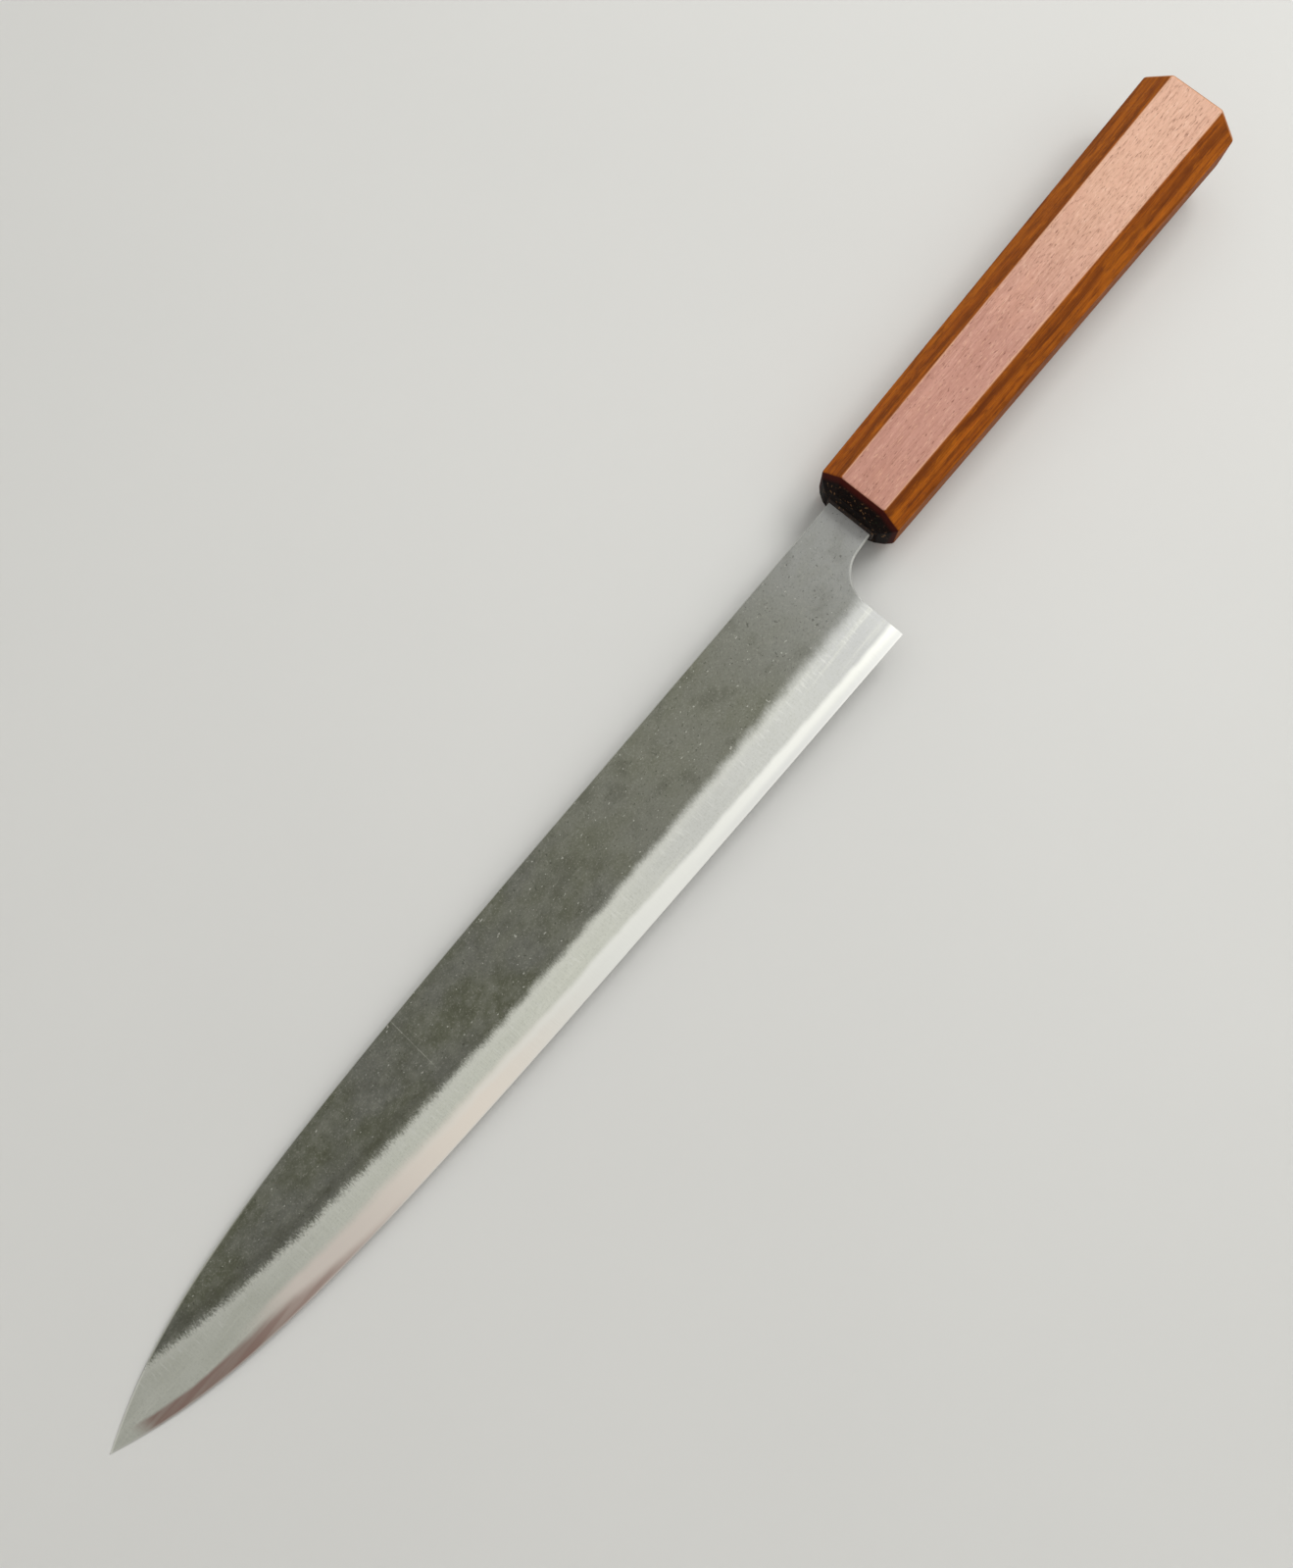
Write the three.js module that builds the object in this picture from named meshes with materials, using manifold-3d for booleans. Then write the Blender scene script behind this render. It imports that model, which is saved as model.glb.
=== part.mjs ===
// A sujihiki, a long slicing knife: laminated blade and octagonal wooden handle, lying on its right face.
// Millimetres. +X runs from the point to the butt, +Y from the edge to the back, +Z out of the left face.
// Within the knife, X = 0 is the mouth of the handle, Y = 0 its centre line and Z = 0 the blade's mid-plane.
import * as THREE from "three";
import { mergeVertices } from "three/addons/utils/BufferGeometryUtils.js";
import Module from "manifold-3d";

const wasm = await Module();
wasm.setup();

// Blade outline
const edgeLength = 270; // heel to point, in a straight line
const neckLength = 14.4; // mouth of the handle to the heel
const heelDepth = 28; // the heel below the centre line
const pointDepth = 7.8; // the point below the centre line
const neckTop = 6.1; // the back above the centre line, at the mouth
const neckBottom = 6.5; // the underside of the neck below the centre line, at the mouth
const neckSlope = 0.09; // fall of the neck's underside towards the heel
const choilRadius = 9.6; // hollow between the neck and the heel
const backStraight = 103; // straight part of the back, from the mouth
const backRise = 1.05; // climb of the back over that part
const backPointAngle = 21.3; // degrees, the back against the centre line at the point
const edgeHeelAngle = 1; // degrees, the edge against the centre line at the heel
const edgePointAngle = 21.6; // degrees, the edge against the centre line at the point

// Bevel and layers
const bevelHeight = 13.3; // ground bevel above the edge, at the heel
const bevelHeelAngle = 0.17; // degrees, the bevel's top line against the centre line at the heel
const bevelPointAngle = 14.8; // degrees, the same line where it runs out at the back
const pointBevel = 22; // from the point to where the bevel's top line runs out at the back
const neckThickness = 3.1; // at the back, at the mouth
const pointThickness = 1.1; // at the back, where the bevel runs out
const bevelThickness = 2.4; // at the top of the bevel, at the heel
const edgeLand = 0.1; // width left at the very edge
const coreBand = 4.1; // core steel that shows above the edge
const weldGap = 0.01; // between one layer and the next

// Fullness of the curves: how much of its run each end's direction holds
const backHold = { start: 0.72, end: 0.165 };
const edgeHold = { start: 0.764, end: 0.137 };
const bevelHold = { start: 0.38, end: 0.228 };

// Tang and what holds it
const tangLength = 95; // behind the mouth
const tangEndHeight = 6;
const tangEndThickness = 2;
const beddingWall = 0.8; // resin between the tang and the wood
const beddingEnd = 3; // resin behind the end of the tang
const sealDepth = 2; // filler inside the mouth
const sealProud = 0.7; // filler in front of the mouth
const fitGap = 0.03; // between a filling and what it fills

// Handle
const handleLength = 130;
const mouthWidth = 23.4;
const mouthThickness = 21.3;
const mouthCorner = 5.3; // cut off each corner, along each side
const buttWidth = 26.8;
const buttThickness = 22.5;
const buttCorner = 6;
const crownDepth = 1.6; // the front end swells by this much
const crownInset = 3.6; // its flat middle, in from the sides
const noseDepth = 1.6; // chamfer round the front end, along the handle
const noseInset = 1.4; // the same chamfer, across the handle
const buttChamfer = 0.8;

const pointSteps = 5; // stations along the bare core at the point
const cladPointSteps = 8; // from there to where the bevel runs out
const bladeSteps = 36; // from there to the heel
const choilSteps = 20;

const slope = (degrees) => Math.tan(THREE.MathUtils.degToRad(degrees));
const at = (x, y, z) => new THREE.Vector3(x, y, z);

// A curve running towards the point: start and end, each with its slope, measured towards the butt.
function sweep(start, startSlope, end, endSlope, hold) {
  const run = start.x - end.x;
  const startReach = hold.start * run;
  const endReach = hold.end * run;
  return new THREE.CubicBezierCurve(
    start,
    new THREE.Vector2(start.x - startReach, start.y - startSlope * startReach),
    new THREE.Vector2(end.x + endReach, end.y + endSlope * endReach),
    end,
  );
}

// Halves the range until the value where the test turns false is found.
function turningPoint(low, high, test) {
  for (let pass = 0; pass < 48; pass++) {
    const middle = (low + high) / 2;
    if (test(middle)) low = middle;
    else high = middle;
  }
  return (low + high) / 2;
}

const heightOn = (curve, x) => curve.getPoint(turningPoint(0, 1, (t) => curve.getPoint(t).x > x)).y;

// Outline of the blade
const heel = new THREE.Vector2(-neckLength, -heelDepth);
const edgeRun = Math.sqrt(edgeLength ** 2 - (heelDepth - pointDepth) ** 2);
const point = new THREE.Vector2(heel.x - edgeRun, -pointDepth);
const backBend = new THREE.Vector2(-backStraight, neckTop + backRise);
const backSlope = -backRise / backStraight;
const backCurve = sweep(backBend, backSlope, point, slope(backPointAngle), backHold);
const edgeCurve = sweep(heel, -slope(edgeHeelAngle), point, -slope(edgePointAngle), edgeHold);

const backAt = (x) => (x > backBend.x ? neckTop + backSlope * x : heightOn(backCurve, x));
const edgeAt = (x) => (x > heel.x ? heel.y : heightOn(edgeCurve, x));

// Top line of the bevel, from the heel to the back
const bevelHeel = new THREE.Vector2(heel.x, heel.y + bevelHeight);
const runOutX = point.x + pointBevel;
const runOut = new THREE.Vector2(runOutX, backAt(runOutX));
const bevelCurve = sweep(bevelHeel, -slope(bevelHeelAngle), runOut, -slope(bevelPointAngle), bevelHold);
const bevelAt = (x) => (x > heel.x ? bevelHeel.y : heightOn(bevelCurve, x));

// The left face above the bevel is one plane. This gives its height over the mid-plane.
const facePlane = new THREE.Plane().setFromCoplanarPoints(
  at(0, neckTop, neckThickness / 2),
  at(runOut.x, runOut.y, pointThickness / 2),
  at(bevelHeel.x, bevelHeel.y, bevelThickness / 2),
);
const faceAt = (x, y) => -facePlane.distanceToPoint(at(x, y, 0)) / facePlane.normal.z;

const halfLand = edgeLand / 2;
const pointRake = (pointThickness / 2 - halfLand) / (runOut.y - edgeAt(runOut.x));

// One cross-section: where the back, bevel, core line and edge lie, and the half-thickness at each.
function bladeSection(x) {
  const back = backAt(x);
  const edge = edgeAt(x);
  const atPoint = x <= runOut.x;
  const bevel = atPoint ? back : bevelAt(x);
  const backHalf = atPoint ? halfLand + pointRake * (back - edge) : faceAt(x, back);
  const bevelHalf = atPoint ? backHalf : faceAt(x, bevel);
  const rake = atPoint ? pointRake : (bevelHalf - halfLand) / (bevel - edge);
  const coreLine = Math.min(edge + coreBand, back);
  const coreHalf = halfLand + rake * (coreLine - edge);
  return { x, back, bevel, coreLine, edge, backHalf, bevelHalf, coreHalf };
}

// Behind the mouth the tang thins along its length, with faces that lean together as the blade's do.
const socketEnd = tangLength + beddingEnd;
const tangShare = (x) => x / tangLength;
const tangHalf = (x) => THREE.MathUtils.lerp(neckThickness, tangEndThickness, tangShare(x)) / 2;
const heelSection = bladeSection(heel.x);
const faceLean = neckThickness / 2 - faceAt(0, heelSection.bevel);
const tangSection = (x) => ({
  ...heelSection,
  x,
  back: neckTop,
  backHalf: tangHalf(x),
  bevelHalf: tangHalf(x) - faceLean,
});

const bareX = turningPoint(point.x, runOut.x, (x) => backAt(x) - edgeAt(x) < coreBand);
const between = (from, to, steps) =>
  Array.from({ length: steps }, (_, step) => from + ((to - from) * step) / steps);
const cladSections = [
  ...between(bareX, runOut.x, cladPointSteps),
  ...between(runOut.x, heel.x, bladeSteps),
  heel.x,
].map(bladeSection);
const behindHeel = [tangSection(0), tangSection(socketEnd)];
const bareSections = between(point.x, bareX, pointSteps).map(bladeSection);

// A closed skin over rings of equally many points, capped at both ends. Collapsed triangles are left out.
function loft(rings) {
  const count = rings[0].length;
  const corners = rings.flat();
  const positions = corners.flatMap((corner) => corner.toArray());
  const triangles = [];
  for (let ring = 0; ring < rings.length - 1; ring++) {
    for (let side = 0; side < count; side++) {
      const a = ring * count + side;
      const b = ring * count + ((side + 1) % count);
      triangles.push(a, b, b + count, a, b + count, a + count);
    }
  }
  const last = (rings.length - 1) * count;
  for (let side = 1; side < count - 1; side++) {
    triangles.push(0, side + 1, side);
    triangles.push(last, last + side, last + side + 1);
  }
  const skin = new THREE.BufferGeometry();
  skin.setAttribute("position", new THREE.Float32BufferAttribute(positions, 3));
  skin.setIndex(triangles);
  const welded = mergeVertices(skin, 1e-4);
  const index = welded.index.array;
  const kept = [];
  for (let i = 0; i < index.length; i += 3) {
    const [a, b, c] = index.slice(i, i + 3);
    if (a !== b && b !== c && c !== a) kept.push(a, b, c);
  }
  welded.setIndex(kept);
  return welded;
}

function solidFrom(geometry) {
  const bare = geometry.clone();
  bare.deleteAttribute("normal");
  bare.deleteAttribute("uv");
  const welded = mergeVertices(bare, 1e-4);
  const vertProperties = welded.attributes.position.array;
  const triVerts = new Uint32Array(welded.index.array);
  return new wasm.Manifold(new wasm.Mesh({ numProp: 3, vertProperties, triVerts }));
}

function geometryFrom(solid) {
  const { vertProperties, triVerts } = solid.getMesh();
  const geometry = new THREE.BufferGeometry();
  geometry.setAttribute("position", new THREE.BufferAttribute(vertProperties, 3));
  geometry.setIndex(new THREE.BufferAttribute(triVerts, 1));
  geometry.computeVertexNormals();
  return geometry;
}

function piece(name, solid, color, roughness, metalness) {
  const material = new THREE.MeshStandardMaterial({ color, roughness, metalness });
  const mesh = new THREE.Mesh(geometryFrom(solid), material);
  mesh.name = name;
  return mesh;
}

const coreRing = ({ x, back, coreLine, edge, coreHalf }) => [
  at(x, back, coreHalf),
  at(x, coreLine, coreHalf),
  at(x, edge, halfLand),
  at(x, edge, -halfLand),
  at(x, coreLine, -coreHalf),
  at(x, back, -coreHalf),
];

const leftRing = ({ x, back, bevel, coreLine, backHalf, bevelHalf, coreHalf }) => [
  at(x, back, backHalf + weldGap),
  at(x, bevel, bevelHalf + weldGap),
  at(x, coreLine, coreHalf + weldGap),
  at(x, back, coreHalf + weldGap),
];

// Upper and lower edges of the neck, in front of the mouth, and of the tang, behind it
const tangEndTop = (neckTop - neckBottom + tangEndHeight) / 2;
const tangTopAt = (x) => THREE.MathUtils.lerp(neckTop, tangEndTop, tangShare(x));
const tangUndersideAt = (x) => THREE.MathUtils.lerp(-neckBottom, tangEndTop - tangEndHeight, tangShare(x));
const topAt = (x) => (x < 0 ? backAt(x) : tangTopAt(x));
const undersideAt = (x) => (x < 0 ? neckSlope * x - neckBottom : tangUndersideAt(x));

// Everything below and behind the heel that isn't neck or tang.
function tangWaste() {
  const margin = 10;
  const choilX = heel.x + choilRadius;
  const choilY = undersideAt(choilX) - choilRadius;
  const waste = new THREE.Shape();
  waste.moveTo(heel.x, heel.y - margin);
  waste.lineTo(heel.x, choilY);
  waste.absarc(choilX, choilY, choilRadius, Math.PI, Math.PI / 2, true);
  waste.lineTo(0, undersideAt(0));
  waste.lineTo(tangLength, undersideAt(tangLength));
  waste.lineTo(tangLength, topAt(tangLength));
  waste.lineTo(0, topAt(0));
  waste.lineTo(0, neckTop + margin);
  waste.lineTo(socketEnd + margin, neckTop + margin);
  waste.lineTo(socketEnd + margin, heel.y - margin);
  const depth = 2 * neckThickness;
  const block = new THREE.ExtrudeGeometry(waste, { depth, bevelEnabled: false, curveSegments: choilSteps });
  return solidFrom(block.translate(0, 0, -depth / 2));
}

// A four-sided block round the neck and tang, larger by a margin on every side, through the places given.
function tangBlock(places, margin) {
  const rings = places.map((x) => {
    const top = topAt(x) + margin;
    const underside = undersideAt(x) - margin;
    const halfDepth = tangHalf(x) + weldGap + margin;
    return [
      at(x, top, halfDepth),
      at(x, underside, halfDepth),
      at(x, underside, -halfDepth),
      at(x, top, -halfDepth),
    ];
  });
  return solidFrom(loft(rings));
}

// A ring of the handle: the tapering octagon at one place, drawn in by an inset all round.
function handleRing(x, inset) {
  const share = x / handleLength;
  const halfWidth = THREE.MathUtils.lerp(mouthWidth, buttWidth, share) / 2 - inset;
  const halfDepth = THREE.MathUtils.lerp(mouthThickness, buttThickness, share) / 2 - inset;
  const corner = THREE.MathUtils.lerp(mouthCorner, buttCorner, share) - inset * (2 - Math.SQRT2);
  return [
    at(x, halfWidth - corner, halfDepth),
    at(x, corner - halfWidth, halfDepth),
    at(x, -halfWidth, halfDepth - corner),
    at(x, -halfWidth, corner - halfDepth),
    at(x, corner - halfWidth, -halfDepth),
    at(x, halfWidth - corner, -halfDepth),
    at(x, halfWidth, corner - halfDepth),
    at(x, halfWidth, halfDepth - corner),
  ];
}

// Blade: three layers with one outline
const waste = tangWaste();
const cladBlank = [...cladSections, ...behindHeel];
const coreBlank = [...bareSections, ...cladBlank];
const core = solidFrom(loft(coreBlank.map(coreRing))).subtract(waste);
const clad = solidFrom(loft(cladBlank.map(leftRing))).subtract(waste);

// Handle, its socket, and the fillings round the tang
const overrun = 1;
const socket = tangBlock([-overrun, 0, socketEnd], beddingWall);
const tangRoom = tangBlock([-sealProud - overrun, 0, tangLength + fitGap], fitGap);
const wood = solidFrom(
  loft([
    handleRing(0, crownInset),
    handleRing(crownDepth, noseInset),
    handleRing(crownDepth + noseDepth, 0),
    handleRing(handleLength - buttChamfer, 0),
    handleRing(handleLength, buttChamfer),
  ]),
).subtract(socket);
const fillMargin = beddingWall - fitGap;
const bedding = tangBlock([sealDepth + fitGap, socketEnd - fitGap], fillMargin).subtract(tangRoom);
const seal = tangBlock([-sealProud, 0, sealDepth], fillMargin).subtract(tangRoom);

const rightCladding = piece("right_cladding", clad, 0x6a6b60, 0.55, 0.9);
rightCladding.scale.z = -1;

const knife = new THREE.Group();
knife.add(piece("core_steel", core, 0xc9ccc4, 0.25, 1));
knife.add(piece("left_cladding", clad, 0x6a6b60, 0.55, 0.9));
knife.add(rightCladding);
knife.add(piece("handle_body", wood, 0xa8683c, 0.6, 0));
knife.add(piece("tang_bedding", bedding, 0x4a3a24, 0.4, 0));
knife.add(piece("mouth_seal", seal, 0x1c120d, 0.5, 0));

// The origin is under the middle of the knife, on the level of its lowest edge.
const extent = new THREE.Box3().setFromObject(knife);
const middle = extent.getCenter(new THREE.Vector3());
knife.position.set(-middle.x, -middle.y, -extent.min.z);

const part = new THREE.Group();
part.add(knife);

export default part;
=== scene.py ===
import math

import bmesh
import bpy
import numpy as np
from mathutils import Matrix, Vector, geometry, noise


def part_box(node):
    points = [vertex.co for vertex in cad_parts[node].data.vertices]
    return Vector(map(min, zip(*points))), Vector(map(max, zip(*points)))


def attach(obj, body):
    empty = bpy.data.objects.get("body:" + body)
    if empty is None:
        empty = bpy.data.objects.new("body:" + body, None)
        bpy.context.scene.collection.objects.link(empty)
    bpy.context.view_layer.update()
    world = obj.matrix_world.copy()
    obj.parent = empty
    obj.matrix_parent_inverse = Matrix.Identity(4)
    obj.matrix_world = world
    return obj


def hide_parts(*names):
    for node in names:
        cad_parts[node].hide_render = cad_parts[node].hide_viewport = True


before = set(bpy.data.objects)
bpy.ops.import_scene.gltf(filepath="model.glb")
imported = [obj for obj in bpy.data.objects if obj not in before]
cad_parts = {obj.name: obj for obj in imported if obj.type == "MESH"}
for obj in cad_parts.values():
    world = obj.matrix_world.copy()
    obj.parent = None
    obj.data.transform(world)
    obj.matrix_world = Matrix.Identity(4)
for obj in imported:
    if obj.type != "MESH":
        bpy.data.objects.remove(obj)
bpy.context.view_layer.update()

mm = 0.001  # sizes below are in millimetres, Blender works in metres
near = 1e-6  # places this close count as one, in metres
weldGap = 1e-7  # verts this close are merged, in metres
smoothAngle = math.radians(28)  # edges sharper than this stay sharp
facing = 0.9  # how far a normal must look one way to count as facing it

# the knife is modelled with the handle's mouth at the origin, then moved to where the solids have it
handleLow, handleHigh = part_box("handle_body")
mouth = Vector((handleLow.x, (handleLow.y + handleHigh.y) / 2, (handleLow.z + handleHigh.z) / 2))
print("frame loaded, mouth of the handle at", [round(v / mm, 2) for v in mouth], "mm")


# hand tools: what is selected, and going in and out of edit mode

def takeNone():
    if bpy.context.mode != "OBJECT":
        bpy.ops.object.mode_set(mode="OBJECT")
    bpy.ops.object.select_all(action="DESELECT")


def takeOnly(piece):
    takeNone()
    piece.select_set(True)
    bpy.context.view_layer.objects.active = piece


def openMesh(piece, kind="VERT"):
    takeOnly(piece)
    bpy.ops.object.mode_set(mode="EDIT")
    bpy.ops.mesh.select_mode(type=kind)
    bpy.ops.mesh.select_all(action="DESELECT")


def closeMesh():
    bpy.ops.object.mode_set(mode="OBJECT")


def pick(piece, kind, test):
    # selects the verts, edges or faces that pass the test, and nothing else
    bpy.ops.mesh.select_mode(type=kind)
    bpy.ops.mesh.select_all(action="DESELECT")
    mesh = bmesh.from_edit_mesh(piece.data)
    parts = {"VERT": mesh.verts, "EDGE": mesh.edges, "FACE": mesh.faces}[kind]
    for part in parts:
        if test(part):
            part.select_set(True)
    mesh.select_flush_mode()
    bmesh.update_edit_mesh(piece.data)


def addBlock(name, low, high):
    # a cube between two corners, with its place and size applied
    takeNone()
    low, high = Vector(low) * mm, Vector(high) * mm
    bpy.ops.mesh.primitive_cube_add(size=1, location=(low + high) / 2, scale=high - low)
    bpy.ops.object.transform_apply(location=True, rotation=True, scale=True)
    piece = bpy.context.object
    piece.name = piece.data.name = name
    return piece


def applyModifier(piece, kind, **settings):
    takeOnly(piece)
    bpy.ops.object.modifier_add(type=kind)
    modifier = piece.modifiers[-1]
    for name, value in settings.items():
        setattr(modifier, name, value)
    bpy.ops.object.modifier_apply(modifier=modifier.name)


def cutWith(piece, cutter):
    applyModifier(piece, "BOOLEAN", operation="DIFFERENCE", solver="EXACT", object=cutter)
    bpy.data.objects.remove(cutter)


def settle(piece, node, finish):
    openMesh(piece)
    bpy.ops.mesh.select_all(action="SELECT")
    bpy.ops.transform.translate(value=mouth)
    closeMesh()
    bpy.ops.object.shade_smooth_by_angle(angle=smoothAngle, keep_sharp_edges=True)
    applyModifier(piece, "WEIGHTED_NORMAL", keep_sharp=True)  # flats stay flat beside their rounds
    piece.data.materials.clear()
    piece.data.materials.append(finish)
    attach(piece, "root")
    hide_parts(node)


def markFaces(piece, name, value):
    # gives each face a number that its finish reads, worked out from the way the face looks
    numbers = [value(face.normal) for face in piece.data.polygons]
    piece.data.attributes.new(name, "FLOAT", "FACE").data.foreach_set("value", numbers)


# shader sums

class Wire:
    # a socket that can be used in sums: each sum adds its Math node
    def __init__(self, tree, socket):
        self.tree = tree
        self.socket = socket

    def add(self, kind, settings, inputs, output=0):
        node = self.tree.nodes.new(kind)
        for name, value in settings.items():
            setattr(node, name, value)
        for name, value in inputs.items():
            if isinstance(value, Wire):
                self.tree.links.new(value.socket, node.inputs[name])
            else:
                node.inputs[name].default_value = value
        return Wire(self.tree, node.outputs[output])

    def maths(self, operation, first, second=0.0):
        return self.add("ShaderNodeMath", {"operation": operation}, {0: first, 1: second})

    def __add__(self, other):
        return self.maths("ADD", self, other)

    def __radd__(self, other):
        return self.maths("ADD", other, self)

    def __sub__(self, other):
        return self.maths("SUBTRACT", self, other)

    def __rsub__(self, other):
        return self.maths("SUBTRACT", other, self)

    def __mul__(self, other):
        return self.maths("MULTIPLY", self, other)

    def __rmul__(self, other):
        return self.maths("MULTIPLY", other, self)

    def __truediv__(self, other):
        return self.maths("DIVIDE", self, other)

    def __pow__(self, other):
        return self.maths("POWER", self, other)

    def __abs__(self):
        return self.maths("ABSOLUTE", self)

    def sine(self):
        return self.maths("SINE", self)

    def rise(self, low, high):
        # 0 up to low, 1 from high on, smooth between them
        inputs = {"Value": self, "From Min": low, "From Max": high}
        return self.add("ShaderNodeMapRange", {"interpolation_type": "SMOOTHSTEP"}, inputs)

    def line(self, middle, half):
        # 1 at the middle, fading to 0 on both sides
        return 1 - abs(self - middle).rise(0, half)

    def stretch(self, x, y, z):
        return self.add("ShaderNodeVectorMath", {"operation": "MULTIPLY"}, {0: self, 1: (x, y, z)})

    def grain(self, x, y, z, detail=2.0, roughness=0.5):
        # noise whose spots are about x by y by z millimetres
        inputs = {"Vector": self.stretch(1 / x, 1 / y, 1 / z), "Scale": 1.0}
        inputs |= {"Detail": detail, "Roughness": roughness}
        return self.add("ShaderNodeTexNoise", {}, inputs)

    def tint(self, under, over):
        # this value takes one colour over into the other; 6, 7 and 2 are the Mix node's colour sockets
        return self.add("ShaderNodeMix", {"data_type": "RGBA"}, {0: self, 6: under, 7: over}, 2)


def rgb(red, green, blue):
    # a colour as it is read off a screen, made linear
    channels = []
    for value in (red, green, blue):
        share = value / 255
        channels.append(share / 12.92 if share <= 0.04045 else ((share + 0.055) / 1.055) ** 2.4)
    return (*channels, 1.0)


def mixTones(piece):
    # the colours of a piece's dictionary, ready for the shader
    return {name: rgb(*colour) for name, colour in piece["tones"].items()}


def newFinish(name, **sockets):
    # an empty material with its fixed sockets set, the place in millimetres and a way to link sockets
    finish = bpy.data.materials.new(name)
    finish.use_nodes = True
    tree = finish.node_tree
    shader = tree.nodes["Principled BSDF"]
    for socket, value in sockets.items():
        shader.inputs[socket.replace("_", " ")].default_value = value
    start = Wire(tree, None)
    spot = start.add("ShaderNodeTexCoord", {}, {}, "Object")
    offset = tuple(-v / mm for v in mouth)
    scaled = start.add("ShaderNodeVectorMath", {"operation": "SCALE"}, {0: spot, "Scale": 1 / mm})
    place = start.add("ShaderNodeVectorMath", {"operation": "ADD"}, {0: scaled, 1: offset})

    def feed(**links):
        for socket, wire in links.items():
            tree.links.new(wire.socket, shader.inputs[socket.replace("_", " ")])

    return finish, place, feed


def mark(place, name):
    return place.add("ShaderNodeAttribute", {"attribute_name": name}, {}, "Fac")


def axes(place, letters):
    return [place.add("ShaderNodeSeparateXYZ", {}, {0: place}, letter) for letter in letters]


def relief(height, depth, strength=1.0):
    # bump from a height between 0 and 1 that stands for a depth in millimetres
    inputs = {"Height": height, "Distance": depth * mm, "Strength": strength}
    return height.add("ShaderNodeBump", {}, inputs)


# the blade; its places run from the mouth, 0, to the point, about -283

blade = {
    "edgeLength": 270.0, "neckLength": 14.4, "heelDepth": 28.0, "pointDepth": 7.8,
    "neckTop": 6.1, "neckBottom": 6.5, "neckSlope": 0.09, "choilRadius": 9.6,
    "backStraight": 103.0, "backRise": 1.05, "backPointAngle": 21.3,
    "edgeHeelAngle": 1.0, "edgePointAngle": 21.6,
    "bevelHeight": 13.3, "bevelHeelAngle": 0.17, "bevelPointAngle": 14.8, "pointBevel": 22.0,
    # how far a line keeps its slope from each end, as a share of its run
    "backHold": (0.72, 0.165), "edgeHold": (0.764, 0.137), "bevelHold": (0.38, 0.228),
    "neckThickness": 3.1, "pointThickness": 1.1, "bevelThickness": 2.4,
    "coreAtHeel": 0.50, "coreAtPoint": 0.24,  # half thickness of the core layer
    # the honed band along the edge, how far it stands proud, and the last honed strip
    "honeHeel": 3.6, "honePoint": 2.1, "honeHeelSlope": -0.006, "honePointSlope": 0.11,
    "honeHold": (0.8, 0.26), "honeCrown": 0.07, "honeMost": 0.45, "crownFade": 14,
    "honeWaver": 0.1, "longWave": 26, "shortWave": 8,
    "microHeight": 0.35, "microHalf": 0.05, "microFade": 6,
    "backRound": 0.35, "choilChamfer": 0.28,
    # unevenness of the forged face, calm towards the bevel and the back, and of the ground face
    "hammerDepth": 0.022, "hammerLarge": (13, 8), "hammerSmall": (5, 4),
    "ridgeCalm": 4, "backCalm": 3, "stoneDepth": 0.006, "stoneWave": 21,
    "tangLength": 95.0, "tangEndHeight": 6.0, "tangEndThickness": 2.0,
    "stations": 220, "crowding": 1.3, "choilSteps": 16, "lineSteps": 800,
    "tones": {
        "scaleOlive": (88, 90, 73), "scaleGrey": (99, 100, 92),
        "mottlePale": (118, 119, 108), "mottleDark": (70, 71, 56),
        "scaleThin": (126, 127, 114), "neckGrey": (150, 151, 150), "mouthPaintedLight": (182, 182, 182),
        "patchPale": (120, 121, 110), "patchDark": (72, 73, 58),
        "speckPale": (160, 160, 149), "speckDark": (56, 56, 45),
        "fleck": (196, 196, 186), "pit": (46, 46, 36), "scratch": (172, 172, 160),
        "scaleRidgeShade": (62, 62, 48),
        "hazeDark": (193, 195, 184), "hazePale": (199, 201, 191), "ironMiddle": (208, 210, 199),
        "ironCool": (197, 198, 196), "ironHeel": (177, 178, 178), "stoneMark": (176, 178, 168),
        "drift": (214, 215, 205), "grit": (160, 162, 152), "coarseMark": (222, 223, 217),
        "corePale": (216, 217, 211), "coreMark": (208, 209, 203), "coreBright": (234, 235, 230),
        "rosyPointReflection": (223, 214, 205), "rosyBellyReflection": (235, 227, 216), "coreEdgeShade": (206, 207, 205),
        "honeHighlightPale": (232, 233, 227), "patinaReflectDark": (149, 127, 118), "patinaReflectPale": (170, 150, 141),
        "apex": (226, 226, 221), "backHighlightPale": (236, 237, 228), "mist": (208, 209, 201),
        "filedDark": (120, 121, 114), "filedPale": (158, 159, 152), "filedSpot": (98, 98, 88),
        "backHighlightScale": (196, 197, 186), "brokenCorner": (204, 205, 199),
    },
}


def slope(degrees):
    return math.tan(math.radians(degrees))


def limited(value):
    return min(1, max(0, value))


def drawLine(start, startSlope, end, endSlope, hold):
    # a line of the blade drawn from the butt's side towards the point: gives its height at any place
    run = start.x - end.x
    startHandle = start - Vector((1, startSlope)) * hold[0] * run
    endHandle = end + Vector((1, endSlope)) * hold[1] * run
    drawn = geometry.interpolate_bezier(start, startHandle, endHandle, end, blade["lineSteps"])
    places = [spot.x for spot in reversed(drawn)]
    heights = [spot.y for spot in reversed(drawn)]
    return lambda x: float(np.interp(x, places, heights))


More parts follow.
